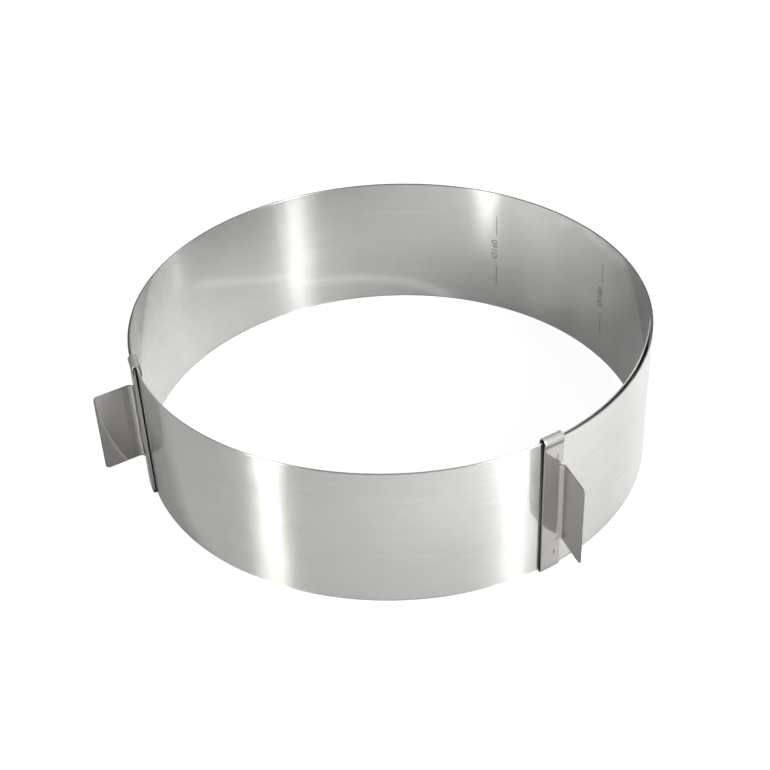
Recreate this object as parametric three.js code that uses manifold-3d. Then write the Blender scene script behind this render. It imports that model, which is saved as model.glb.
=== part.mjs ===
// Adjustable cake ring of two thin steel bands. The inner band slides round inside the outer one.
// A clip folded from one blank holds each end of the outer band: its top and bottom are curled
// over the edges of both bands, and a tab bent out of its side is the handle.
// Millimetres and degrees, +Z up. The ring's axis is vertical and its open front faces -Y.

import * as THREE from 'three';
import { mergeVertices } from 'three/addons/utils/BufferGeometryUtils.js';
import Module from 'manifold-3d';

const wasm = await Module();
wasm.setup();

// Bands
const bandHeight = 59.5;
const bandSheet = 0.45;
const outerBandRadius = 102.4; // outside face of the outer band
const innerCornerRadius = 3; // free corners of the inner band
const frontAngle = 100.6; // between the two clips, across the open front
const rightOverlapAngle = 52.8; // inner band behind the outer one, from the right clip on
const leftOverlapAngle = 23.7;

// Air between the two bands. The inner one springs out at its ends and in the clips, and bows
// inwards in the middle of the open front and again before its right-hand end.
const endGap = 0.3;
const clipGap = 0.4;
const bowGap = 1.15;
const rightBowAngle = 17; // from the inner band's right-hand end back to its second bow

// Clips
const clipSheet = 0.45;
const clipWidth = 8.3; // along the band
const clipLead = 0.3; // how far the clip reaches past the end of the outer band
const seatGap = 0.15; // between the outer band and the clip welded to it
const slideGap = 0.3; // between the inner band and the clip's lips
const curlBulge = 0.6; // how far the curl at the top stands proud of the clip's flat face
const curlAir = 1.1; // from the bands' upper edge to the inside of the curl
const footRadius = 0.6; // inside the two bends of the foot
const footAir = 0.4; // from the bands' lower edge to the inside of the foot
const lipDepth = 3.6; // lip beyond the centre of its bend

// Handles
const handleBase = 13.1; // lower edge of the handle above the lower edge of the bands
const handleHeight = 34.5;
const handleReach = 15.8; // straight out from the clip's flat face to the handle's tip
const handleLeanAngle = 13; // from straight out towards the open front
const handleCornerRadius = 1.6;
const bendRadius = 1.8; // inside the bend between clip and handle
const reliefHeight = 0.4; // slot above and below the bend
const reliefDepth = 0.5; // slot past the start of the bend

// Facets
const bandFacetAngle = 1.5;
const cornerSteps = 5;
const clipSteps = 5;
const curlSteps = 6;
const bendSteps = 8;
const curlFlatAngle = 18; // level facet at the very top of a curl
const cutOverrun = 5;

// Radii of the faces, from the ring's axis outwards
const outerBandInside = outerBandRadius - bandSheet;
const bowInside = outerBandInside - bowGap - bandSheet;
const lipOutside = bowInside - slideGap;
const lipInside = lipOutside - clipSheet;
const flangeInside = outerBandRadius + seatGap;
const flangeOutside = flangeInside + clipSheet;

// Angles round the axis, counted from +X
const frontMiddleAngle = -90;
const rightEdgeAngle = frontMiddleAngle + frontAngle / 2;
const leftEdgeAngle = frontMiddleAngle - frontAngle / 2;
const fullTurnAngle = 360;

function radians(degrees) {
  return THREE.MathUtils.degToRad(degrees);
}

function arcAngle(length, radius) {
  return THREE.MathUtils.radToDeg(length / radius);
}

// Stations along a band from a free end inwards: how far from the end each one is, and how far
// the rounded corner cuts the band's edge back there.
function cornerStations(cornerRadius) {
  if (cornerRadius === 0) return [{ along: 0, cut: 0 }];
  return Array.from({ length: cornerSteps + 1 }, (_, step) => {
    const turn = (Math.PI / 2) * (step / cornerSteps);
    return {
      along: cornerRadius * (1 - Math.cos(turn)),
      cut: cornerRadius * (1 - Math.sin(turn)),
    };
  });
}

// Upright columns of a band from one end to the other, closer together at rounded corners.
function bandColumns(start, end, cornerRadius, radiusAt) {
  const corner = cornerStations(cornerRadius).map(({ along, cut }) => ({
    angle: arcAngle(along, outerBandRadius),
    cut,
  }));
  const cornerAngle = corner.at(-1).angle;
  const middle = end - start - 2 * cornerAngle;
  const facets = Math.ceil(middle / bandFacetAngle);
  const columns = corner.map(({ angle, cut }) => ({ angle: start + angle, cut }));
  for (let facet = 1; facet < facets; facet++) {
    columns.push({ angle: start + cornerAngle + (middle * facet) / facets, cut: 0 });
  }
  columns.push(...corner.map(({ angle, cut }) => ({ angle: end - angle, cut })).reverse());
  return columns.map((column) => ({ ...column, radius: radiusAt(column.angle) }));
}

// A closed strip of sheet standing on its edge, with four points to a column.
function bandGeometry(columns) {
  const positions = [];
  const index = [];
  for (const { angle, cut, radius } of columns) {
    const inside = radius - bandSheet;
    const low = cut;
    const high = bandHeight - cut;
    for (const [r, z] of [[inside, low], [radius, low], [radius, high], [inside, high]]) {
      positions.push(r * Math.cos(radians(angle)), r * Math.sin(radians(angle)), z);
    }
  }
  const cornerCount = 4;
  for (let column = 0; column < columns.length - 1; column++) {
    for (let side = 0; side < cornerCount; side++) {
      const a = column * cornerCount + side;
      const b = column * cornerCount + ((side + 1) % cornerCount);
      index.push(a, a + cornerCount, b + cornerCount, a, b + cornerCount, b);
    }
  }
  const last = (columns.length - 1) * cornerCount;
  index.push(0, 1, 2, 0, 2, 3);
  index.push(last, last + 2, last + 1, last, last + 3, last + 2);
  const geometry = new THREE.BufferGeometry();
  geometry.setAttribute('position', new THREE.Float32BufferAttribute(positions, 3));
  geometry.setIndex(index);
  geometry.computeVertexNormals();
  return geometry;
}

function outerBandGeometry() {
  const lead = arcAngle(clipLead, outerBandRadius);
  const start = rightEdgeAngle + lead;
  const end = leftEdgeAngle + fullTurnAngle - lead;
  return bandGeometry(bandColumns(start, end, 0, () => outerBandRadius));
}

// Air between the bands at an angle, easing over between the places where it is known.
function gapAt(angle, places) {
  const next = Math.max(1, places.findIndex((place) => place.angle >= angle));
  const from = places[next - 1];
  const to = places[next];
  const share = THREE.MathUtils.smoothstep(angle, from.angle, to.angle);
  return THREE.MathUtils.lerp(from.gap, to.gap, share);
}

function innerBandGeometry() {
  const start = leftEdgeAngle - leftOverlapAngle;
  const end = rightEdgeAngle + rightOverlapAngle;
  const places = [
    { angle: start, gap: endGap },
    { angle: leftEdgeAngle, gap: clipGap },
    { angle: frontMiddleAngle, gap: bowGap },
    { angle: rightEdgeAngle, gap: clipGap },
    { angle: end - rightBowAngle, gap: bowGap },
    { angle: end, gap: endGap },
  ];
  const radiusAt = (angle) => outerBandInside - gapAt(angle, places);
  return bandGeometry(bandColumns(start, end, innerCornerRadius, radiusAt));
}

// Points over a curl from the clip's flat face to the lip: one bend round the first centre, a
// level facet and another bend round the second centre.
function curlPoints(faceCentre, lipCentre, radius, faceRadius) {
  const creaseCosine = Math.min(1, (faceRadius - faceCentre.x) / radius);
  const crease = -THREE.MathUtils.radToDeg(Math.acos(creaseCosine));
  const topAngle = 90;
  const lipAngle = 180;
  const flatStart = topAngle - curlFlatAngle / 2;
  const flatEnd = topAngle + curlFlatAngle / 2;
  const pointAt = (centre, angle) => {
    const x = centre.x + radius * Math.cos(radians(angle));
    const y = centre.y + radius * Math.sin(radians(angle));
    return new THREE.Vector2(x, y);
  };
  const points = [];
  for (let step = 0; step <= curlSteps; step++) {
    points.push(pointAt(faceCentre, crease + (flatStart - crease) * (step / curlSteps)));
  }
  const lipSteps = Math.ceil(curlSteps / 2);
  for (let step = 0; step <= lipSteps; step++) {
    points.push(pointAt(lipCentre, flatEnd + (lipAngle - flatEnd) * (step / lipSteps)));
  }
  return points;
}

// Half of a clip's section beyond the bands' edge, with the bands' edge at y 0: out of the flat
// face, over the edge and down into the lip. x is the distance from the ring's axis.
function hookPoints(innerRadius, bulge, air) {
  const outerRadius = innerRadius + clipSheet;
  const centreHeight = air - innerRadius;
  const faceCentre = new THREE.Vector2(flangeOutside + bulge - outerRadius, centreHeight);
  const lipCentre = new THREE.Vector2(lipInside + outerRadius, centreHeight);
  const lipEnd = centreHeight - lipDepth;
  return [
    ...curlPoints(faceCentre, lipCentre, outerRadius, flangeOutside),
    new THREE.Vector2(lipInside, lipEnd),
    new THREE.Vector2(lipOutside, lipEnd),
    ...curlPoints(faceCentre, lipCentre, innerRadius, flangeInside).reverse(),
  ];
}

// Section of a clip: a flat face with a round curl at the top and a flat foot at the bottom.
function clipSection() {
  const curlInnerRadius = (flangeOutside + curlBulge - lipInside) / 2 - clipSheet;
  const curl = hookPoints(curlInnerRadius, curlBulge, curlAir);
  const foot = hookPoints(footRadius, 0, footAir);
  return new THREE.Shape([
    ...curl.map(({ x, y }) => new THREE.Vector2(x, bandHeight + y)),
    ...foot.map(({ x, y }) => new THREE.Vector2(x, -y)).reverse(),
  ]);
}

// A section swept round the ring's axis through the listed angles, largest first.
function sweepRound(section, angles) {
  const steps = angles.length - 1;
  const geometry = new THREE.ExtrudeGeometry(section, { steps, depth: 1, bevelEnabled: false });
  const position = geometry.getAttribute('position');
  for (let i = 0; i < position.count; i++) {
    const angle = radians(angles[Math.round(position.getZ(i) * steps)]);
    const radius = position.getX(i);
    position.setXYZ(i, radius * Math.cos(angle), radius * Math.sin(angle), position.getY(i));
  }
  return geometry;
}

function toSolid(geometry) {
  geometry.deleteAttribute('normal');
  geometry.deleteAttribute('uv');
  const merged = mergeVertices(geometry);
  return new wasm.Manifold(
    new wasm.Mesh({
      numProp: 3,
      vertProperties: merged.getAttribute('position').array,
      triVerts: new Uint32Array(merged.index.array),
    }),
  );
}

function toGeometry(solid) {
  const mesh = solid.getMesh();
  const geometry = new THREE.BufferGeometry();
  geometry.setAttribute('position', new THREE.BufferAttribute(mesh.vertProperties, 3));
  geometry.setIndex(new THREE.BufferAttribute(mesh.triVerts, 1));
  geometry.computeVertexNormals();
  return geometry;
}

// Where the right-hand clip bends out into its handle
const farEdgeAngle = rightEdgeAngle + arcAngle(clipWidth, flangeInside);
const bendStartAngle = farEdgeAngle - arcAngle(bendRadius + clipSheet, flangeInside);
const reliefStartAngle = bendStartAngle - arcAngle(reliefDepth, flangeInside);
const jointStartAngle = reliefStartAngle - arcAngle(reliefDepth, flangeInside);
const handleTurnAngle = 90 + handleLeanAngle;
const handleTop = handleBase + handleHeight;

// The handle's plan lies in a frame that stands on the flat face where the bend starts: u runs
// on round the ring, v straight out from its axis.
function planPoint(u, v) {
  const angle = radians(bendStartAngle);
  const x = v * Math.cos(angle) - u * Math.sin(angle);
  const y = v * Math.sin(angle) + u * Math.cos(angle);
  return new THREE.Vector2(x, y);
}

// Length of the handle's straight part beyond the bend.
function handleLength() {
  const bendReach = bendRadius * (1 - Math.cos(radians(handleTurnAngle)));
  return (handleReach - bendReach) / Math.sin(radians(handleTurnAngle));
}

// One face of the handle in plan: along the clip's flat face, round the bend and out to the tip.
function handleFace(faceRadius) {
  const radius = flangeOutside + bendRadius - faceRadius;
  const points = [];
  for (const angle of [jointStartAngle, bendStartAngle]) {
    const x = faceRadius * Math.cos(radians(angle));
    const y = faceRadius * Math.sin(radians(angle));
    points.push(new THREE.Vector2(x, y));
  }
  for (let step = 1; step <= bendSteps; step++) {
    const turn = radians(handleTurnAngle * (step / bendSteps));
    const u = radius * Math.sin(turn);
    const v = flangeOutside + bendRadius - radius * Math.cos(turn);
    points.push(planPoint(u, v));
  }
  const turn = radians(handleTurnAngle);
  const u = radius * Math.sin(turn) + handleLength() * Math.cos(turn);
  const v = flangeOutside + bendRadius - radius * Math.cos(turn) + handleLength() * Math.sin(turn);
  points.push(planPoint(u, v));
  return points;
}

// Outline of the handle seen square on, with its two outer corners rounded. x is the distance
// from the middle of the bend along the handle, y the height.
function handleOutline() {
  const radius = handleCornerRadius;
  const tip = handleLength();
  const outline = new THREE.Shape();
  outline.moveTo(-cutOverrun, handleBase);
  outline.lineTo(tip - radius, handleBase);
  outline.absarc(tip - radius, handleBase + radius, radius, -Math.PI / 2, 0, false);
  outline.lineTo(tip, handleTop - radius);
  outline.absarc(tip - radius, handleTop - radius, radius, 0, Math.PI / 2, false);
  outline.lineTo(-cutOverrun, handleTop);
  return outline;
}

// The handle's outline as a thick block, turned to lie along the straight part of the handle.
function handleBlock() {
  const options = { depth: 2 * cutOverrun, bevelEnabled: false, curveSegments: cornerSteps };
  const geometry = new THREE.ExtrudeGeometry(handleOutline(), options);
  geometry.translate(0, 0, -cutOverrun);
  geometry.rotateX(Math.PI / 2);
  const turn = radians(handleTurnAngle);
  const radius = bendRadius + clipSheet / 2;
  const u = radius * Math.sin(turn);
  const v = flangeOutside + bendRadius - radius * Math.cos(turn);
  const start = planPoint(u, v);
  geometry.rotateZ(radians(bendStartAngle) + Math.PI / 2 - turn);
  geometry.translate(start.x, start.y, 0);
  return geometry;
}

function handleSolid() {
  const plan = [...handleFace(flangeOutside), ...handleFace(flangeInside).reverse()];
  const options = { depth: handleHeight + 2 * cutOverrun, bevelEnabled: false };
  const sheet = new THREE.ExtrudeGeometry(new THREE.Shape(plan), options);
  sheet.translate(0, 0, handleBase - cutOverrun);
  return toSolid(sheet).intersect(toSolid(handleBlock()));
}

// The room cut out of the clip's flat face for the bend, with a relief slot above and below it.
function bendRoom() {
  const low = handleBase - reliefHeight;
  const high = handleTop + reliefHeight;
  const inside = flangeInside - slideGap;
  const outside = flangeOutside + cutOverrun;
  const section = new THREE.Shape([
    new THREE.Vector2(inside, low),
    new THREE.Vector2(outside, low),
    new THREE.Vector2(outside, high),
    new THREE.Vector2(inside, high),
  ]);
  const past = farEdgeAngle + arcAngle(cutOverrun, flangeInside);
  return toSolid(sweepRound(section, [past, reliefStartAngle]));
}

function clipGeometry() {
  const angles = [farEdgeAngle, bendStartAngle, jointStartAngle];
  for (let step = 1; step <= clipSteps; step++) {
    angles.push(jointStartAngle + (rightEdgeAngle - jointStartAngle) * (step / clipSteps));
  }
  const wrap = toSolid(sweepRound(clipSection(), angles));
  return toGeometry(wrap.subtract(bendRoom()).add(handleSolid()));
}

function steel(color, roughness) {
  return new THREE.MeshStandardMaterial({ color, metalness: 1, roughness });
}

const bandSteel = steel(0xc4c3bf, 0.2);
const clipSteel = steel(0xb2b0ab, 0.26);

function piece(name, geometry, material) {
  const mesh = new THREE.Mesh(geometry, material);
  mesh.name = name;
  return mesh;
}

const outerBand = piece('outer_band', outerBandGeometry(), bandSteel);
const innerBand = piece('inner_band', innerBandGeometry(), bandSteel);
const rightClip = piece('right_handle_clip', clipGeometry(), clipSteel);
const leftClip = piece('left_handle_clip', rightClip.geometry, clipSteel);
leftClip.scale.x = -1;

const ring = new THREE.Group();
ring.add(outerBand, innerBand, rightClip, leftClip);

// The ring stands on the feet of its clips, centred over the origin.
const extent = new THREE.Box3().setFromObject(ring);
const middle = extent.getCenter(new THREE.Vector3());
ring.position.set(-middle.x, -middle.y, -extent.min.z);

const cakeRing = new THREE.Group();
cakeRing.name = 'adjustable_cake_ring';
cakeRing.add(ring);

export default cakeRing;
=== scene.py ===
"""Looks of the adjustable cake ring: two rolled steel bands, two folded handle clips with their
weld marks, and the diameter scale engraved inside the outer band. Metres, +Z up.
"""

import math

import bpy
from mathutils import Matrix, Vector


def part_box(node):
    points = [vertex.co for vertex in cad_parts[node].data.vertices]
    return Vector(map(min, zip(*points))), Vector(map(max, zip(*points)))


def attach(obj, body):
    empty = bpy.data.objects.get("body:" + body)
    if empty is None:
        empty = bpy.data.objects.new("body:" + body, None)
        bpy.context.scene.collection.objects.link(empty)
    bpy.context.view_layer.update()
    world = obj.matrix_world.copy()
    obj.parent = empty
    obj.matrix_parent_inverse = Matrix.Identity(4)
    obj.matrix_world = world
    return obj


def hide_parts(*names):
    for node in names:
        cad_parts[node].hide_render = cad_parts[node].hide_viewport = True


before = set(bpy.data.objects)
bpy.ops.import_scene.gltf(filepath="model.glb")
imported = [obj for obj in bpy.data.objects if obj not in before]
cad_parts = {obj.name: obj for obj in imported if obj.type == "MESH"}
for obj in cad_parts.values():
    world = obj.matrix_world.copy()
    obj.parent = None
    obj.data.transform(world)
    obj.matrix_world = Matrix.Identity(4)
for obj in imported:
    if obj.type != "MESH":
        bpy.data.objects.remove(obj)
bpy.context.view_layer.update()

MM = 0.001

# Bands. Wear and painted shade run from 0 on a clean side to 1 on a cut edge.
BAND_HEIGHT = 59.5 * MM
BAND_SHEET = 0.45 * MM
OUTER_BAND_RADIUS = 102.4 * MM
OUTER_BAND_INSIDE = OUTER_BAND_RADIUS - BAND_SHEET
INNER_CORNER_RADIUS = 3 * MM
CORNER_STEPS = 10
BAND_ROWS = 14
BAND_STEP = 0.5  # degrees from column to column
EDGE_RADIUS = 0.13 * MM
EDGE_STEPS = 3
EDGE_FADE = 0.45 * MM  # over which the edge's tone fades into the side
# Cut edges take a darker tone: partly duller cut steel, partly painted shade along the rims
BAND_EDGE_WEAR_AND_SHADE = 0.9
BAND_END_WEAR = 0.25
BAND_END_FADE = 0.5  # degrees

# Angles round the ring's axis, in degrees from +X
FRONT_MIDDLE = -90
FRONT_ANGLE = 100.6
RIGHT_EDGE = FRONT_MIDDLE + FRONT_ANGLE / 2
LEFT_EDGE = FRONT_MIDDLE - FRONT_ANGLE / 2
RIGHT_OVERLAP = 52.8
LEFT_OVERLAP = 23.7
INNER_START = LEFT_EDGE - LEFT_OVERLAP
INNER_END = RIGHT_EDGE + RIGHT_OVERLAP

# Air between the bands, at angles along the inner one. It lies close at its left end, stands off at
# both clips, and bows inwards in the middle of the open front and again before its right end.
END_GAP = 0.3 * MM
CLIP_GAP = 0.4 * MM
BOW_GAP = 1.15 * MM
RIGHT_BOW = 17
RIGHT_BOW_GAP = 1.3 * MM
SNUG_GAP = 0.15 * MM
SNUG_ANGLE = 4
INNER_GAPS = (
    (INNER_START, SNUG_GAP),
    (LEFT_EDGE - SNUG_ANGLE, SNUG_GAP),
    (LEFT_EDGE, CLIP_GAP),
    (FRONT_MIDDLE, BOW_GAP),
    (RIGHT_EDGE, CLIP_GAP),
    (INNER_END - RIGHT_BOW, RIGHT_BOW_GAP),
    (INNER_END, END_GAP),
)

# Slight unevenness that bent sheet keeps: (height, waves per turn, waves up the band, phase)
SHEET_WAVES = (
    (0.030 * MM, 5, 0.0, 0.4),
    (0.016 * MM, 11, 0.35, 2.1),
    (0.008 * MM, 23, -0.6, 4.0),
    (0.004 * MM, 41, 0.8, 1.3),
)
OUTER_PHASE = 0.0
INNER_PHASE = 2.3

# Clips
CLIP_SHEET = 0.45 * MM
CLIP_WIDTH = 8.3 * MM
CLIP_LEAD = 0.3 * MM  # from the clip's edge to the outer band's end behind it
SEAT_GAP = 0.15 * MM
SLIDE_GAP = 0.3 * MM
FLANGE_INSIDE = OUTER_BAND_RADIUS + SEAT_GAP
FLANGE_OUTSIDE = FLANGE_INSIDE + CLIP_SHEET
FLANGE_MIDDLE = FLANGE_INSIDE + CLIP_SHEET / 2
FLANGE_ROW = 1.5 * MM
EDGE_ROW = 0.35 * MM  # first row in from the handle's upper and lower edge
ROW_SLACK = 0.01 * MM
CLIP_COLUMN = 0.3  # degrees
FAR_COLUMNS = 4  # beyond the handle's bend
CLIP_RIM_WEAR = 0.1
# The bend takes a share of the dark edge tone: painted shade that dims its reflection, with some wear
BEND_WEAR_AND_SHADE = 0.25

# Curl over the bands' upper edge and foot under their lower one, each with a lip inside the bands
CURL_BULGE = 0.32 * MM
CURL_AIR = 1.1 * MM
CURL_STEPS = 26
CREASE_STEPS = 4
CREASE_RUN = 0.3 * MM
CREASE_ANGLE = 12
# The crease takes the dark edge tone in full: painted shade in the crease
CREASE_SHADE = 1.0
FOOT_RADIUS = 0.6 * MM
FOOT_AIR = 0.4 * MM
LIP_INSIDE = OUTER_BAND_INSIDE - BOW_GAP - BAND_SHEET - SLIDE_GAP - CLIP_SHEET
LIP_DEPTH = 3.6 * MM
LIP_ROWS = 5
LIP_WEAR = 0.6

# Handles
HANDLE_BASE = 13.1 * MM
HANDLE_HEIGHT = 34.5 * MM
HANDLE_TOP = HANDLE_BASE + HANDLE_HEIGHT
HANDLE_MIDDLE = HANDLE_BASE + HANDLE_HEIGHT / 2
HANDLE_REACH = 15.8 * MM
HANDLE_TURN = 105
HANDLE_CORNER = 1.6 * MM
BEND_RADIUS = 1.8 * MM
BEND_STEPS = 12
RELIEF_HEIGHT = 0.4 * MM
RELIEF_DEPTH = 0.5 * MM
PLATE_COLUMN = 0.7 * MM
PLATE_CROWN = 0.03 * MM
# The handle's upper and lower edges and its tip take the dark edge tone: partly duller cut steel, partly
# painted shade
PLATE_EDGE = 0.985  # share of the half height where the cut edge's tone begins
TIP_STEPS = 6
TIP_FADE = 0.6 * MM

# Weld marks: shallow ovals on the flange, above and below the handle. The profile gives each ring's
# share of the oval and its rise in millimetres, from the middle outwards.
WELD_HALF_WIDTH = 0.45 * MM
WELD_HALF_HEIGHT = 1.15 * MM
WELD_INSET = 2.6 * MM
WELD_HEIGHTS = (HANDLE_TOP + 4.2 * MM, HANDLE_BASE - 6.2 * MM)
WELD_PROFILE = ((0, 0.006), (0.35, 0.007), (0.6, 0.015), (0.8, 0.025), (0.92, 0.018), (1, -0.02))
WELD_SIDES = 28

# Diameter scale inside the outer band: (millimetres, angle), and shares of the band's height
SCALE_MARKS = ((160, 81.0), (180, 46.7), (200, 12.4), (220, -21.9))
UPPER_LINE = (0.645, 0.803)
LOWER_LINE = (0.203, 0.366)
LABEL_MIDDLE = 0.515
LABEL_LENGTH = 9.5 * MM
LABEL_OFFSET = 1.05 * MM
LINE_WIDTH = 0.38 * MM
LINE_ROWS = 8
MARK_RISE = 0.012 * MM  # that keeps a mark clear of the band's side

# Shading of the meshes: angles in degrees, and how much the large faces lead the normals
SHARP_ANGLE = 38
BAND_NORMALS = 90
CLIP_NORMALS = 70
BEVEL_WIDTH = 0.06 * MM
BEVEL_STEPS = 2
BEVEL_ANGLE = 50

# Steel. Streaks and blotches have a length along the grain and a width across it.
NOISE_SPAN = (0.3, 0.7)  # where nearly all of a noise's values lie
FINE_STREAK = (0.035, 0.000001)
WIDE_STREAK = (0.07, 0.0022)
BLOTCH = (0.035, 0.035)
BLOTCH_ROUGHNESS = (-0.015, 0.02)
BLOTCH_TONE = (0.1, 0.9)
WIDE_TONE = (-0.25, 0.25)
EVEN_PARTING = 0.6  # value of the fine noise that leaves hardly any brushed streaks
PARTING_REACH = 0.2  # by which it moves for all of them
PARTING_DRIFT = 0.005  # by which wide streaks move it
STREAK_BORDER = 0.05
# A cut edge's darker tone is partly duller cut steel and partly painted shade
EDGE_SHARE = 0.95  # of the edge's own tone on a cut edge
GRAIN_TURN = 0.25  # of a full turn, which smears reflections across the grain
GRAIN_BUMP = {"strength": 0.06, "distance": 0.00001}
SHEET_ROUGHNESS = (0.05, 0.30)  # of polished and of brushed streaks
WELD_ROUGHNESS = (0.15, 0.35)
BAND_TONES = (0.61, 0.605, 0.59), (0.59, 0.585, 0.57)
CLIP_TONES = (0.47, 0.46, 0.445), (0.44, 0.43, 0.415)
# Edge tones, partly duller cut steel and partly painted shade: dark on the clips' and the outer band's
# edges, grey on the inner band's
CLIP_EDGE_AND_SHADE = (0.08, 0.078, 0.075)
DARK_EDGE_AND_SHADE = (0.07, 0.068, 0.065)
GREY_EDGE_AND_SHADE = (0.23, 0.225, 0.22)

# Etched marks
ETCH_TONES = (0.16, 0.16, 0.155), (0.06, 0.06, 0.06)
ETCH_SPECKLE = (1 / 4000, 1 / 9000)  # length and width of a speck
ETCH_SPAN = (0.35, 0.65)
ETCH_ROUGHNESS = (0.4, 0.65)
ETCH_METAL = 0.6
ETCH_BUMP = {"strength": 0.5, "distance": 0.00001}

# The photograph's camera, placed round the ring's axis at the level of the bands' lower edge
CAMERA_POSITION = Vector((-0.02979, -4.66387, 3.65168)) * OUTER_BAND_RADIUS
CAMERA_ELEVATION = 36.341
CAMERA_ROLL = -2.657
CAMERA_LENS = 67.91
CAMERA_SENSOR = 36
CAMERA_RANGE = (0.01, 20)
RING_TURN = 20.6  # how far the ring is turned in front of the camera

# Softboxes: name, azimuth and elevation in degrees, distance, width, height, radiance, colour
SOFTBOXES = (
    ("strip_right", -45.0, 31, 0.88, 0.130, 0.458, 93, (1, 1, 1)),
    ("strip_left", -138.5, 7, 0.73, 0.125, 0.18, 97, (1, 0.985, 0.95)),
    ("strip_side", 27.6, 30, 0.80, 0.045, 0.352, 61, (0.97, 0.985, 1)),
    ("fill_left", 170, 35, 0.80, 0.60, 0.60, 2, (1, 1, 1)),
)
AIM_HEIGHT = 0.03

# Floor
FLOOR_HALF = 3
FLOOR_PAPER = (0.88, 0.88, 0.88)
FLOOR_LIFT = 0.9  # share of plain white over the shadow
BLACK = (0, 0, 0)
# Painted light and shade that the metal sees on the floor, outside and inside the ring, as two
# gradients each: the azimuth along which the tone changes, the two distances from the ring's middle
# between which it does, and the tones there. It stands in for where lamps light the floor and the ring
# shades it
OUTSIDE_PAINTED_SHADE = (40, -0.15, 0.0, 0.31, 0.45), (165, 0.08, 0.15, 1, 0.85)
INSIDE_PAINTED_SHADE = (180, -0.035, 0.09, 0.345, 0.635), (0, 0.03, 0.085, 1, 1.35)
# Painted shade on the floor next to the bands: its tone right at them, and the distance over which it fades
CONTACT_SHADE = 0.77  # what the metal sees of the floor right at the bands
CONTACT_SHADE_REACH = 0.05
# Painted light on the floor inside the ring, standing in for the light that the curved walls throw there: a
# spot and a straight streak, each with its middle, half width and tone
PAINTED_SPOT_CENTRE = (-0.0225, 0.067, 0)  # seen with +Y away from the camera
PAINTED_SPOT = (0, 0.006, 0.22)
PAINTED_STREAK_SIDE = 110.6  # azimuth square to the streak
PAINTED_STREAK = (0.0796, 0.0050, 0.20)
PAINTED_STREAK_PART = (-0.005, 0.010, 0, 1)  # the distances along it between which it sets in

# World
WORLD_FILL = 1.0
WORLD_LEVEL = (-20, -1, 1, 0.45, 1.95)  # what the metal sees of it, graded like the floor's tone

outer_low, outer_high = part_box("outer_band")
AXIS = Vector((0, outer_high.y - OUTER_BAND_RADIUS, outer_low.z))


def arc_degrees(length, radius):
    """The angle that a length spans along an arc."""
    return math.degrees(length / radius)


def round_point(radius, angle, height):
    """A point at a radius and an angle round the ring's axis, and a height above the bands' lower edge."""
    turn = math.radians(angle)
    return AXIS + Vector((radius * math.cos(turn), radius * math.sin(turn), height))


def smoothstep(value, low, high):
    """How far a value has come from low to high, easing in and out."""
    share = min(1, max(0, (value - low) / (high - low)))
    return share * share * (3 - 2 * share)


def spread(start, end, count):
    """Evenly spaced values from start to end, both included."""
    return [start + (end - start) * i / count for i in range(count + 1)]


# Meshes


class Shape:
    """A mesh in the making. Each point has its place in the grain, in metres, and its wear and painted
    shade.
    """

    def __init__(self):
        self.points = []
        self.grain = []
        self.wear_and_shade = []
        self.faces = []

    def add_point(self, point, grain, wear_and_shade=0):
        """Adds a point and returns its number."""
        self.points.append(point)
        self.grain.append(grain)
        self.wear_and_shade.append(wear_and_shade)
        return len(self.points) - 1

    def bridge(self, first, second):
        """Adds the faces between two lines of point numbers."""
        for i in range(len(first) - 1):
            self.faces.append((first[i], second[i], second[i + 1], first[i + 1]))

    def mirror(self):
        """Moves the shape to the ring's other side."""
        self.points = [Vector((-point.x, point.y, point.z)) for point in self.points]
        self.faces = [tuple(reversed(face)) for face in self.faces]

    def make_piece(self, name, material):
        """The mesh object, with a UV map of the grain and the wear and painted shade as an attribute."""
        mesh = bpy.data.meshes.new(name)
        mesh.from_pydata(self.points, [], self.faces)
        layer = mesh.uv_layers.new(name="grain")
        for loop in mesh.loops:
            layer.data[loop.index].uv = self.grain[loop.vertex_index]
        attribute = mesh.attributes.new("wear_and_shade", "FLOAT", "POINT")
        attribute.data.foreach_set("value", self.wear_and_shade)
        mesh.materials.append(material)
        mesh.shade_smooth()
        piece = bpy.data.objects.new(name, mesh)
        bpy.context.scene.collection.objects.link(piece)
        return piece


def weigh_normals(piece, weight, keep_sharp=False):
    """Lets the large faces lead the normals, so that flat sheet stays flat up to its edges."""
    weighted = piece.modifiers.new("weighted_normals", "WEIGHTED_NORMAL")
    weighted.keep_sharp = keep_sharp
    weighted.weight = weight


# Bands


def unevenness(angle, height, phase):
    """How far a band's side stands off its true radius."""
    turn = math.radians(angle)
    rise = 2 * math.pi * height / BAND_HEIGHT
    return sum(
        size * math.sin(round_waves * turn + up_waves * rise + start + phase)
        for size, round_waves, up_waves, start in SHEET_WAVES
    )


def gap_at(angle):
    """Air between the bands at an angle, easing over between the places where it is known. The
    inner band's right end comes straight up to the outer band."""
    for (low, low_gap), (high, high_gap) in zip(INNER_GAPS, INNER_GAPS[1:]):
        if angle <= high:
            break
    share = smoothstep(angle, low, high)
    if high == INNER_END:
        share = ((angle - low) / (high - low)) ** 2
    return low_gap + (high_gap - low_gap) * share


def outer_radius_at(angle):
    """Outer radius of the outer band, the same all the way round."""
    return OUTER_BAND_RADIUS


def inner_radius_at(angle):
    """Outer radius of the inner band."""
    return OUTER_BAND_INSIDE - gap_at(angle)


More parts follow.
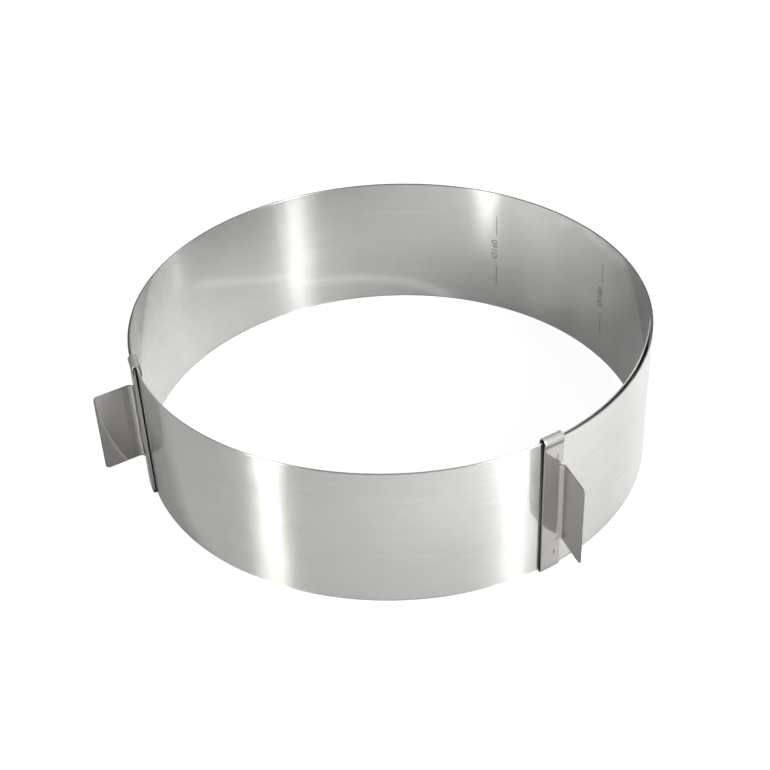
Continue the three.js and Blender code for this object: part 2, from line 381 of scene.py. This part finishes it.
def band_section(radius, low, high):
    """Section of a band with rounded edges, as (radius, height, wear and painted shade) all the way round.
    """
    outside = radius - EDGE_RADIUS
    inside = radius - BAND_SHEET + EDGE_RADIUS
    bottom = low + EDGE_RADIUS
    top = high - EDGE_RADIUS
    corners = (
        (outside, bottom, -90, radius),
        (outside, top, 0, None),
        (inside, top, 90, radius - BAND_SHEET),
        (inside, bottom, 180, None),
    )
    section = []
    for x, z, first, side in corners:
        for angle in spread(first, first + 90, EDGE_STEPS):
            turn = math.radians(angle)
            worn_and_shaded = max(BAND_EDGE_WEAR_AND_SHADE, abs(math.sin(turn)))
            section.append((x + EDGE_RADIUS * math.cos(turn), z + EDGE_RADIUS * math.sin(turn), worn_and_shaded))
        if side:
            start = section[-1][1]
            end = high + low - start
            fade = math.copysign(EDGE_FADE, end - start)
            for height in (start + fade, *spread(start, end, BAND_ROWS)[1:-1], end - fade):
                section.append((side, height, 0))
    return section


def band_columns(start, end, corner_radius):
    """Angles of a band's columns, each with how far a rounded free corner cuts the edges back."""
    turns = spread(0, math.pi / 2, CORNER_STEPS) if corner_radius else [math.pi / 2]
    corner = []
    for turn in turns:
        along = corner_radius * (1 - math.cos(turn))
        corner.append((arc_degrees(along, OUTER_BAND_RADIUS), corner_radius * (1 - math.sin(turn))))
    reach = corner[-1][0]
    count = math.ceil((end - start - 2 * reach) / BAND_STEP)
    columns = [(start + angle, cut) for angle, cut in corner[:-1]]
    columns += [(angle, 0) for angle in spread(start + reach, end - reach, count)]
    columns += [(end - angle, cut) for angle, cut in reversed(corner[:-1])]
    return columns


def make_band(name, start, end, corner_radius, radius_at, phase, material):
    """A band from one angle to another, closed at both ends."""
    shape = Shape()
    rings = []
    for angle, cut in band_columns(start, end, corner_radius):
        radius = radius_at(angle)
        end_wear = BAND_END_WEAR * (1 - smoothstep(min(angle - start, end - angle), 0, BAND_END_FADE))
        ring = []
        for across, height, worn_and_shaded in band_section(radius, cut, BAND_HEIGHT - cut):
            point = round_point(across + unevenness(angle, height, phase), angle, height)
            grain = (radius * math.radians(angle), height)
            ring.append(shape.add_point(point, grain, max(worn_and_shaded, end_wear)))
        rings.append(ring)
    for first, second in zip(rings, rings[1:]):
        shape.bridge(first + first[:1], second + second[:1])
    shape.faces.append(tuple(rings[0]))
    shape.faces.append(tuple(reversed(rings[-1])))
    piece = shape.make_piece(name, material)
    piece.data.set_sharp_from_angle(angle=math.radians(SHARP_ANGLE))
    weigh_normals(piece, BAND_NORMALS, keep_sharp=True)
    return piece


# Clips, built as the right one. The left one is its mirror image.

FAR_EDGE = RIGHT_EDGE + arc_degrees(CLIP_WIDTH, FLANGE_INSIDE)
BEND_START = FAR_EDGE - arc_degrees(BEND_RADIUS + CLIP_SHEET, FLANGE_INSIDE)
RELIEF_START = BEND_START - arc_degrees(RELIEF_DEPTH, FLANGE_INSIDE)


def bend_rows(centre, radius, start, end, count):
    """Rows of a rounded bend, as (radius, height, wear and painted shade)."""
    rows = []
    for angle in spread(start, end, count):
        turn = math.radians(angle)
        rows.append((centre[0] + radius * math.cos(turn), centre[1] + radius * math.sin(turn), BEND_WEAR_AND_SHADE))
    return rows


def hook_rows(inner_radius, bulge, air):
    """Middle of the clip's sheet from the lip's end over the bands' edge to the flat face, as
    (radius, height beyond the bands' edge, wear and painted shade). A bulging hook meets the flat face in a
    crease."""
    outer_radius = inner_radius + CLIP_SHEET
    radius = inner_radius + CLIP_SHEET / 2
    height = air - inner_radius
    lip_centre = (LIP_INSIDE + outer_radius, height)
    face_centre = (FLANGE_OUTSIDE + bulge - outer_radius, height)
    lip_radius = lip_centre[0] - radius
    rows = [(lip_radius, h, LIP_WEAR) for h in spread(height - LIP_DEPTH, height, LIP_ROWS)[:-1]]
    rows += bend_rows(lip_centre, radius, 180, 90, CURL_STEPS // 2)
    if bulge == 0:
        return rows + bend_rows(face_centre, radius, 90, 0, CURL_STEPS // 2)
    crease = -math.degrees(math.acos(min(1, (FLANGE_MIDDLE - face_centre[0]) / radius)))
    rows += bend_rows(face_centre, radius, 90, crease + CREASE_ANGLE, CURL_STEPS // 2)[1:]
    crease_height = height + radius * math.sin(math.radians(crease))
    end = Vector(rows[-1][:2])
    corner = Vector((FLANGE_MIDDLE, crease_height))
    start = Vector((FLANGE_MIDDLE, crease_height - CREASE_RUN))
    for share in spread(0, 1, CREASE_STEPS)[1:]:
        point = end * (1 - share) ** 2 + corner * 2 * share * (1 - share) + start * share**2
        # Painted shade along the crease
        rows.append((point.x, point.y, CREASE_SHADE))
    return rows


def flange_heights(low, high):
    """Heights of the flange's rows from high down to low, among them the handle's and slots' edges."""
    tab_top = (HANDLE_TOP + RELIEF_HEIGHT, HANDLE_TOP, HANDLE_TOP - EDGE_ROW)
    tab_foot = (HANDLE_BASE + EDGE_ROW, HANDLE_BASE, HANDLE_BASE - RELIEF_HEIGHT)
    stops = (high, *tab_top, *tab_foot, low)
    heights = []
    for above, below in zip(stops, stops[1:]):
        count = max(1, round((above - below) / FLANGE_ROW))
        heights += spread(above, below, count)[1:]
    return heights


def clip_rows():
    """Rows of the clip's sheet, as (radius, height, wear and painted shade), from the curl's lip to the
    foot's lip.
    """
    curl_inside = (FLANGE_OUTSIDE + CURL_BULGE - LIP_INSIDE) / 2 - CLIP_SHEET
    curl = hook_rows(curl_inside, CURL_BULGE, CURL_AIR)
    foot = hook_rows(FOOT_RADIUS, 0, FOOT_AIR)
    top = [(radius, BAND_HEIGHT + height, worn_and_shaded) for radius, height, worn_and_shaded in curl]
    bottom = [(radius, -height, worn_and_shaded) for radius, height, worn_and_shaded in reversed(foot)]
    middle = [(FLANGE_MIDDLE, height, 0) for height in flange_heights(bottom[0][1], top[-1][1])[:-1]]
    return top + middle + bottom


def rows_between(rows, low, high):
    """Numbers of the rows that lie between two heights together with the next row down."""
    return [
        number
        for number, (upper, lower) in enumerate(zip(rows, rows[1:]))
        if upper[1] <= high + ROW_SLACK and lower[1] >= low - ROW_SLACK
    ]


def add_strip(shape, rows):
    """The clip's upright strip, with the handle's room cut out of it. Returns the line that the
    handle grows from, as (number of the point, height, place along the strip)."""
    angles = spread(RIGHT_EDGE, RELIEF_START, round((RELIEF_START - RIGHT_EDGE) / CLIP_COLUMN))
    bend_column = len(angles)
    angles += spread(BEND_START, FAR_EDGE, FAR_COLUMNS)
    rims = (angles[0], angles[-1])
    lines, runs = [], []
    before = rows[0]
    run = 0
    for row in rows:
        radius, height, worn_and_shaded = row
        run += math.dist(before[:2], row[:2])
        before = row
        line = []
        for angle in angles:
            wear_and_shade = max(worn_and_shaded, CLIP_RIM_WEAR) if angle in rims else worn_and_shaded
            grain = (FLANGE_MIDDLE * math.radians(angle), run)
            line.append(shape.add_point(round_point(radius, angle, height), grain, wear_and_shade))
        lines.append(line)
        runs.append(run)
    room = rows_between(rows, HANDLE_BASE - RELIEF_HEIGHT, HANDLE_TOP + RELIEF_HEIGHT)
    tab = rows_between(rows, HANDLE_BASE, HANDLE_TOP)
    for number, (upper, lower) in enumerate(zip(lines, lines[1:])):
        columns = len(angles) - 1
        if number in tab:
            columns = bend_column
        elif number in room:
            columns = bend_column - 1
        for i in range(columns):
            shape.faces.append((upper[i], upper[i + 1], lower[i + 1], lower[i]))
    return [(lines[number][bend_column], rows[number][1], runs[number]) for number in (*tab, tab[-1] + 1)]


def plate_stations(length):
    """Columns of the handle's flat part: (distance from the bend, how far the rounded tip cuts in)."""
    straight = length - HANDLE_CORNER
    stations = [(reach, 0) for reach in spread(0, straight, round(straight / PLATE_COLUMN))[1:]]
    for turn in spread(0, math.pi / 2, TIP_STEPS)[1:]:
        reach = straight + HANDLE_CORNER * math.sin(turn)
        stations.append((reach, HANDLE_CORNER * (1 - math.cos(turn))))
    return stations


def handle_path():
    """Middle of the handle's sheet in plan: (point, distance, how far the rounded tip cuts in, wear and
    painted shade).
    """
    turn = math.radians(BEND_START)
    along = Vector((-math.sin(turn), math.cos(turn), 0))
    out = Vector((math.cos(turn), math.sin(turn), 0))
    bend = BEND_RADIUS + CLIP_SHEET / 2
    centre = out * (FLANGE_MIDDLE + bend)
    path = []
    for angle in spread(0, HANDLE_TURN, BEND_STEPS)[1:]:
        a = math.radians(angle)
        point = centre + along * bend * math.sin(a) - out * bend * math.cos(a)
        path.append((point, bend * a, 0, BEND_WEAR_AND_SHADE * math.sin(math.pi * angle / HANDLE_TURN)))
    end_turn = math.radians(HANDLE_TURN)
    direction = along * math.cos(end_turn) + out * math.sin(end_turn)
    side = out * math.cos(end_turn) - along * math.sin(end_turn)
    length = (HANDLE_REACH - BEND_RADIUS * (1 - math.cos(end_turn))) / math.sin(end_turn)
    start, run = path[-1][:2]
    for reach, cut in plate_stations(length):
        crown = PLATE_CROWN * math.sin(math.pi * reach / length)
        worn_and_shaded = smoothstep(reach, length - TIP_FADE, length)
        path.append((start + direction * reach + side * crown, run + reach, cut, worn_and_shaded))
    return path


def add_handle(shape, root):
    """The handle, bent out of the strip along the line that add_strip returns."""
    before = [number for number, height, run in root]
    for point, reach, cut, worn_and_shaded in handle_path():
        column = []
        for number, height, run in root:
            share = (height - HANDLE_MIDDLE) / (HANDLE_HEIGHT / 2)
            eased = HANDLE_MIDDLE + share * (HANDLE_HEIGHT / 2 - cut)
            grain = (FLANGE_MIDDLE * math.radians(BEND_START) + reach, run)
            wear_and_shade = max(worn_and_shaded, smoothstep(abs(share), PLATE_EDGE, 1))
            column.append(shape.add_point(AXIS + point + Vector((0, 0, eased)), grain, wear_and_shade))
        shape.bridge(before, column)
        before = column


def thicken(piece):
    """Gives a clip's sheet its thickness and slightly broken edges."""
    solid = piece.modifiers.new("sheet", "SOLIDIFY")
    solid.thickness = CLIP_SHEET
    solid.offset = 0
    solid.use_even_offset = True
    bevel = piece.modifiers.new("edges", "BEVEL")
    bevel.width = BEVEL_WIDTH
    bevel.segments = BEVEL_STEPS
    bevel.limit_method = "ANGLE"
    bevel.angle_limit = math.radians(BEVEL_ANGLE)
    bevel.use_clamp_overlap = True


def make_clip(name, mirrored, material):
    """One folded blank with its handle."""
    shape = Shape()
    add_handle(shape, add_strip(shape, clip_rows()))
    if mirrored:
        shape.mirror()
    piece = shape.make_piece(name, material)
    thicken(piece)
    weigh_normals(piece, CLIP_NORMALS)
    return piece


def add_weld_ring(shape, centre_height, share, rise):
    """One ring of a weld mark's profile, as point numbers that come back to the first."""
    centre_angle = FAR_EDGE - arc_degrees(WELD_INSET, FLANGE_OUTSIDE)
    turns = spread(0, 2 * math.pi, WELD_SIDES)[:-1] if share else [0]
    ring = []
    for turn in turns:
        angle = centre_angle + arc_degrees(WELD_HALF_WIDTH * share * math.cos(turn), FLANGE_OUTSIDE)
        height = centre_height + WELD_HALF_HEIGHT * share * math.sin(turn)
        point = round_point(FLANGE_OUTSIDE + rise * MM, angle, height)
        ring.append(shape.add_point(point, (FLANGE_OUTSIDE * math.radians(angle), height), share))
    return ring + ring[:1]


def make_welds(name, mirrored, material):
    """The weld marks of one clip."""
    shape = Shape()
    for height in WELD_HEIGHTS:
        (middle, _), *rings = [add_weld_ring(shape, height, share, rise) for share, rise in WELD_PROFILE]
        shape.faces += [(middle, a, b) for a, b in zip(rings[0], rings[0][1:])]
        for first, second in zip(rings, rings[1:]):
            shape.bridge(first, second)
    if mirrored:
        shape.mirror()
    return shape.make_piece(name, material)


# Diameter scale


def add_mark_point(shape, angle, height, rise):
    """Adds a point of a mark on the outer band's inside and returns its number."""
    lift = unevenness(angle, height, OUTER_PHASE) - rise
    point = round_point(OUTER_BAND_INSIDE + lift, angle, height)
    return shape.add_point(point, (OUTER_BAND_INSIDE * math.radians(angle), height))


def make_scale_line(name, angle, low, high, material):
    """A thin upright line on the outer band's inside."""
    shape = Shape()
    half = arc_degrees(LINE_WIDTH / 2, OUTER_BAND_INSIDE)
    profile = ((-half, MARK_RISE / 2), (0, MARK_RISE), (half, MARK_RISE / 2))
    rows = []
    for height in spread(low * BAND_HEIGHT, high * BAND_HEIGHT, LINE_ROWS):
        rows.append([add_mark_point(shape, angle + side, height, rise) for side, rise in profile])
    for first, second in zip(rows, rows[1:]):
        shape.bridge(first, second)
    return shape.make_piece(name, material)


def flat_text(words):
    """A flat mesh of a line of text."""
    curve = bpy.data.curves.new("label", "FONT")
    curve.body = words
    curve.size = 1
    text = bpy.data.objects.new("label", curve)
    bpy.context.scene.collection.objects.link(text)
    bpy.context.view_layer.update()
    flat = bpy.data.meshes.new_from_object(text.evaluated_get(bpy.context.evaluated_depsgraph_get()))
    bpy.data.objects.remove(text)
    bpy.data.curves.remove(curve)
    return flat


def make_label(name, diameter, angle, material):
    """The diameter in millimetres, reading upwards beside its line."""
    flat = flat_text(f"Ø{diameter}")
    xs = [vertex.co.x for vertex in flat.vertices]
    ys = [vertex.co.y for vertex in flat.vertices]
    scale = LABEL_LENGTH / (max(xs) - min(xs))
    middle_x = (max(xs) + min(xs)) / 2
    middle_y = (max(ys) + min(ys)) / 2
    shape = Shape()
    for x, y in zip(xs, ys):
        height = LABEL_MIDDLE * BAND_HEIGHT + (x - middle_x) * scale
        side = LABEL_OFFSET + (y - middle_y) * scale
        add_mark_point(shape, angle + arc_degrees(side, OUTER_BAND_INSIDE), height, MARK_RISE)
    shape.faces = [tuple(face.vertices) for face in flat.polygons]
    bpy.data.meshes.remove(flat)
    return shape.make_piece(name, material)


# Materials


class Nodes:
    """Adds nodes to one tree and links them by socket."""

    def __init__(self, tree):
        self.tree = tree
        tree.nodes.clear()

    def add(self, kind, inputs=None, **settings):
        """A node, with a value or a link for each input that is given."""
        node = self.tree.nodes.new(kind)
        for key, value in settings.items():
            setattr(node, key, value)
        for key, value in (inputs or {}).items():
            if isinstance(value, bpy.types.NodeSocket):
                self.tree.links.new(value, node.inputs[key])
            else:
                node.inputs[key].default_value = value
        return node

    def noise(self, vector, size, detail, rough=0.5):
        """Noise in spots of a length and a width."""
        length, width = size
        scaled = self.add("ShaderNodeMapping", {"Vector": vector, "Scale": (1 / length, 1 / width, 1)})
        inputs = {"Vector": scaled.outputs["Vector"], "Scale": 1, "Detail": detail, "Roughness": rough}
        return self.add("ShaderNodeTexNoise", inputs).outputs["Fac"]

    def remap(self, value, low, high, to_low, to_high):
        """A value moved from one range to another and kept inside it."""
        inputs = {"Value": value, "From Min": low, "From Max": high, "To Min": to_low, "To Max": to_high}
        return self.add("ShaderNodeMapRange", inputs).outputs["Result"]

    def math(self, operation, a, b):
        """The result of one operation on two values."""
        return self.add("ShaderNodeMath", {0: a, 1: b}, operation=operation).outputs["Value"]

    def mix(self, share, a, b):
        """A colour between two colours, each of them a socket or a value."""
        node = self.add("ShaderNodeMix", {"Factor": share}, data_type="RGBA")
        for socket, value in ((node.inputs[6], a), (node.inputs[7], b)):
            if isinstance(value, bpy.types.NodeSocket):
                self.tree.links.new(value, socket)
            else:
                socket.default_value = (*value, 1)
        return node.outputs[2]

    def bump(self, height, strength, distance):
        """A normal tilted by a height."""
        inputs = {"Height": height, "Strength": strength, "Distance": distance}
        return self.add("ShaderNodeBump", inputs).outputs["Normal"]


def new_material(name):
    """A material and the nodes of its empty tree."""
    material = bpy.data.materials.new(name)
    material.use_nodes = True
    return material, Nodes(material.node_tree)


def make_steel(name, tones, roughness, edge_tone_and_shade, edge_roughness, brushed_share, anisotropy=1.0):
    """Rolled stainless steel. Fine streaks of brushed metal lie between polished ones, so that
    reflections stay readable and smear across the grain at the same time. Cut edges, bends and the
    crease take a darker tone of their own: partly duller cut steel, partly painted shade."""
    material, n = new_material(name)
    light, dark = tones
    grain = n.add("ShaderNodeUVMap", uv_map="grain").outputs["UV"]
    fine = n.noise(grain, FINE_STREAK, detail=2)
    wide = n.noise(grain, WIDE_STREAK, detail=3)
    blotch = n.noise(grain, BLOTCH, detail=3, rough=0.55)
    wear_and_shade = n.add("ShaderNodeAttribute", attribute_name="wear_and_shade").outputs["Fac"]

    parting = EVEN_PARTING - PARTING_REACH * brushed_share
    parted = n.remap(wide, *NOISE_SPAN, parting + PARTING_DRIFT, parting - PARTING_DRIFT)
    streak = n.remap(n.math("SUBTRACT", fine, parted), -STREAK_BORDER, STREAK_BORDER, 0, 1)
    rough = n.remap(streak, 0, 1, *roughness)
    rough = n.math("ADD", rough, n.remap(blotch, *NOISE_SPAN, *BLOTCH_ROUGHNESS))
    rough = n.math("ADD", rough, n.remap(wear_and_shade, 0, 1, 0, edge_roughness))

    tone = n.remap(blotch, *NOISE_SPAN, *BLOTCH_TONE)
    tone = n.math("ADD", tone, n.remap(wide, *NOISE_SPAN, *WIDE_TONE))
    color = n.mix(tone, dark, light)
    # Darker tone on cut edges, bends and the crease: partly duller cut steel, partly painted shade
    color = n.mix(n.remap(wear_and_shade, 0, 1, 0, EDGE_SHARE), color, edge_tone_and_shade)

    tangent = n.add("ShaderNodeTangent", direction_type="UV_MAP", uv_map="grain")
    shader = n.add(
        "ShaderNodeBsdfPrincipled",
        {
            "Base Color": color,
            "Metallic": 1,
            "Roughness": rough,
            "Anisotropic": anisotropy,
            "Anisotropic Rotation": GRAIN_TURN,
            "Normal": n.bump(wide, **GRAIN_BUMP),
            "Tangent": tangent.outputs["Tangent"],
        },
    )
    n.add("ShaderNodeOutputMaterial", {"Surface": shader.outputs["BSDF"]})
    return material


def make_etching(name):
    """Dark etched metal of the scale marks, with the grain of the band showing through."""
    material, n = new_material(name)
    light, dark = ETCH_TONES
    grain = n.add("ShaderNodeUVMap", uv_map="grain").outputs["UV"]
    speckle = n.noise(grain, ETCH_SPECKLE, detail=3, rough=0.6)
    shader = n.add(
        "ShaderNodeBsdfPrincipled",
        {
            "Base Color": n.mix(n.remap(speckle, *ETCH_SPAN, 0, 1), dark, light),
            "Metallic": ETCH_METAL,
            "Roughness": n.remap(speckle, *NOISE_SPAN, *ETCH_ROUGHNESS),
            "Normal": n.bump(speckle, **ETCH_BUMP),
        },
    )
    n.add("ShaderNodeOutputMaterial", {"Surface": shader.outputs["BSDF"]})
    return material


# Studio


def placed(azimuth, elevation, distance):
    """A point seen from the ring's middle, at an azimuth counted from the camera's right."""
    a = math.radians(azimuth + RING_TURN)
    e = math.radians(elevation)
    offset = Vector((math.cos(e) * math.cos(a), math.cos(e) * math.sin(a), math.sin(e)))
    return AXIS + offset * distance


def make_camera():
    """The photograph's camera."""
    data = bpy.data.cameras.new("camera")
    data.sensor_width = CAMERA_SENSOR
    data.lens = CAMERA_LENS
    data.clip_start, data.clip_end = CAMERA_RANGE
    camera = bpy.data.objects.new("camera", data)
    bpy.context.scene.collection.objects.link(camera)
    turn = Matrix.Rotation(math.radians(RING_TURN), 4, "Z")
    tilt = Matrix.Rotation(math.radians(90 - CAMERA_ELEVATION), 4, "X")
    roll = Matrix.Rotation(math.radians(CAMERA_ROLL), 4, "Z")
    camera.matrix_world = Matrix.Translation(AXIS + turn @ CAMERA_POSITION) @ turn @ tilt @ roll
    bpy.context.scene.camera = camera


def make_softbox(name, azimuth, elevation, distance, width, height, radiance, color):
    """A lamp that faces the ring. Its power follows its size, so that it looks equally bright."""
    data = bpy.data.lights.new(name, "AREA")
    data.shape = "RECTANGLE"
    data.size = width
    data.size_y = height
    data.energy = radiance * math.pi * width * height
    data.color = color
    lamp = bpy.data.objects.new(name, data)
    lamp.location = placed(azimuth, elevation, distance)
    aim = AXIS + Vector((0, 0, AIM_HEIGHT)) - lamp.location
    lamp.rotation_euler = aim.to_track_quat("-Z", "Y").to_euler()
    bpy.context.scene.collection.objects.link(lamp)


def towards(n, vector, azimuth):
    """How far a vector reaches towards an azimuth counted from the camera's right."""
    turn = math.radians(azimuth + RING_TURN)
    inputs = {0: vector, 1: (math.cos(turn), math.sin(turn), 0)}
    return n.add("ShaderNodeVectorMath", inputs, operation="DOT_PRODUCT").outputs["Value"]


def graded(n, vector, azimuth, low, high, to_low, to_high):
    """A value that changes evenly along an azimuth."""
    return n.remap(towards(n, vector, azimuth), low, high, to_low, to_high)


def glow(n, value, middle, half_width, tone):
    """A tone where the value is near the middle, falling off evenly on both sides."""
    off = n.math("ABSOLUTE", n.math("SUBTRACT", value, middle), 0)
    return n.remap(off, 0, half_width, tone, 0)


def painted_thrown_light(n, place):
    """Painted soft spot and straight streak of light on the floor inside the ring, standing in for the
    light that the curved walls throw there. The walls mirror the spot as a long arc."""
    centre = Matrix.Rotation(math.radians(RING_TURN), 3, "Z") @ Vector(PAINTED_SPOT_CENTRE)
    away = n.add("ShaderNodeVectorMath", {0: place, 1: centre}, operation="DISTANCE").outputs["Value"]
    streak = glow(n, towards(n, place, PAINTED_STREAK_SIDE), *PAINTED_STREAK)
    streak = n.math("MULTIPLY", streak, graded(n, place, PAINTED_STREAK_SIDE - 90, *PAINTED_STREAK_PART))
    return n.math("ADD", glow(n, away, *PAINTED_SPOT), streak)


def painted_floor_shade(n, place):
    """Painted light and shade that the metal sees at a place on the floor."""
    radius = n.add("ShaderNodeVectorMath", {0: place}, operation="LENGTH").outputs["Value"]
    beside = n.math("ABSOLUTE", n.math("SUBTRACT", radius, OUTER_BAND_RADIUS), 0)
    # Painted shade on the floor close to the bands
    contact_shade = n.remap(beside, 0, CONTACT_SHADE_REACH, CONTACT_SHADE, 1)
    outside_shade, inside_shade = (
        n.math("MULTIPLY", graded(n, place, *even), graded(n, place, *local))
        for even, local in (OUTSIDE_PAINTED_SHADE, INSIDE_PAINTED_SHADE)
    )
    # Painted light from the walls, added to the floor inside the ring
    inside_shade = n.math("ADD", inside_shade, painted_thrown_light(n, place))
    inside = n.math("LESS_THAN", radius, OUTER_BAND_RADIUS)
    side = n.remap(inside, 0, 1, outside_shade, inside_shade)
    return n.math("MULTIPLY", side, contact_shade)


def make_floor():
    """A plain white floor. It takes the ring's shadow, under a share of plain white. Every ray but the
    camera's sees painted light and shade on it.
    """
    corners = [(x * FLOOR_HALF, y * FLOOR_HALF, 0) for x, y in ((-1, -1), (1, -1), (1, 1), (-1, 1))]
    mesh = bpy.data.meshes.new("floor")
    mesh.from_pydata(corners, [], [(0, 1, 2, 3)])
    floor = bpy.data.objects.new("floor", mesh)
    bpy.context.scene.collection.objects.link(floor)
    material, n = new_material("floor")
    place = n.add("ShaderNodeTexCoord").outputs["Object"]
    camera_ray = n.add("ShaderNodeLightPath").outputs["Is Camera Ray"]
    # For every ray but the camera's, the floor's tone carries painted light and shade
    tone = n.math("MAXIMUM", painted_floor_shade(n, place), camera_ray)
    paper = n.add("ShaderNodeBsdfDiffuse", {"Color": n.mix(tone, BLACK, FLOOR_PAPER)})
    white = n.add("ShaderNodeEmission", {"Strength": 1})
    lift = n.math("MULTIPLY", camera_ray, FLOOR_LIFT)
    mixed = n.add("ShaderNodeMixShader", {0: lift, 1: paper.outputs[0], 2: white.outputs[0]})
    n.add("ShaderNodeOutputMaterial", {"Surface": mixed.outputs[0]})
    mesh.materials.append(material)


def make_world():
    """Even light from all round. Metal sees a studio that is brighter on one side."""
    world = bpy.data.worlds.new("studio")
    bpy.context.scene.world = world
    world.use_nodes = True
    n = Nodes(world.node_tree)
    direction = n.add("ShaderNodeTexCoord").outputs["Generated"]
    studio = graded(n, direction, *WORLD_LEVEL)
    path = n.add("ShaderNodeLightPath").outputs
    mirrored = n.math("MAXIMUM", path["Is Glossy Ray"], path["Is Transmission Ray"])
    level = n.math("ADD", n.math("MULTIPLY", mirrored, n.math("SUBTRACT", studio, WORLD_FILL)), WORLD_FILL)
    level = n.math("MAXIMUM", level, path["Is Camera Ray"])
    background = n.add("ShaderNodeBackground", {"Color": (1, 1, 1, 1), "Strength": level})
    n.add("ShaderNodeOutputWorld", {"Surface": background.outputs[0]})


# The ring


def fit(piece, body, node=None):
    """Puts a piece on its body, in place of a CAD node where it has one."""
    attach(piece, body)
    if node:
        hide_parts(node)


def add_bands():
    """Both bands. The outer one's ends lie just behind the clips' edges."""
    lead = arc_degrees(CLIP_LEAD, OUTER_BAND_RADIUS)
    start, end = RIGHT_EDGE + lead, LEFT_EDGE + 360 - lead
    steel = make_steel(
        "band_steel", BAND_TONES, SHEET_ROUGHNESS, DARK_EDGE_AND_SHADE, edge_roughness=0.60, brushed_share=0.30
    )
    outer = make_band("outer_band_rolled", start, end, 0, outer_radius_at, OUTER_PHASE, steel)
    fit(outer, "outer_ring", "outer_band")

    steel = make_steel(
        "inner_steel", BAND_TONES, SHEET_ROUGHNESS, GREY_EDGE_AND_SHADE, edge_roughness=0.40, brushed_share=0.30
    )
    inner = make_band(
        "inner_band_rolled", INNER_START, INNER_END, INNER_CORNER_RADIUS, inner_radius_at, INNER_PHASE, steel
    )
    fit(inner, "sliding_band", "inner_band")


def add_clips():
    """Both clips with their weld marks."""
    clip_steel = make_steel(
        "clip_steel", CLIP_TONES, SHEET_ROUGHNESS, CLIP_EDGE_AND_SHADE,
        edge_roughness=0.30, brushed_share=0.15, anisotropy=0.9,
    )
    weld_steel = make_steel(
        "weld_steel", CLIP_TONES, WELD_ROUGHNESS, CLIP_EDGE_AND_SHADE,
        edge_roughness=0.08, brushed_share=0.5, anisotropy=0,
    )
    for side, mirrored in (("right", False), ("left", True)):
        clip = make_clip(f"{side}_clip_folded", mirrored, clip_steel)
        fit(clip, "outer_ring", f"{side}_handle_clip")
        fit(make_welds(f"{side}_clip_welds", mirrored, weld_steel), "outer_ring")


def add_scale():
    """The diameter marks, each two lines with a number between them."""
    etched_steel = make_etching("etched_steel")
    for diameter, angle in SCALE_MARKS:
        for part, (low, high) in (("upper", UPPER_LINE), ("lower", LOWER_LINE)):
            line = make_scale_line(f"scale_{diameter}_{part}_line", angle, low, high, etched_steel)
            fit(line, "outer_ring")
        fit(make_label(f"scale_{diameter}_number", diameter, angle, etched_steel), "outer_ring")


make_camera()
add_bands()
add_clips()
add_scale()
make_floor()
make_world()
for softbox in SOFTBOXES:
    make_softbox(*softbox)

bpy.context.scene.view_settings.view_transform = "Standard"
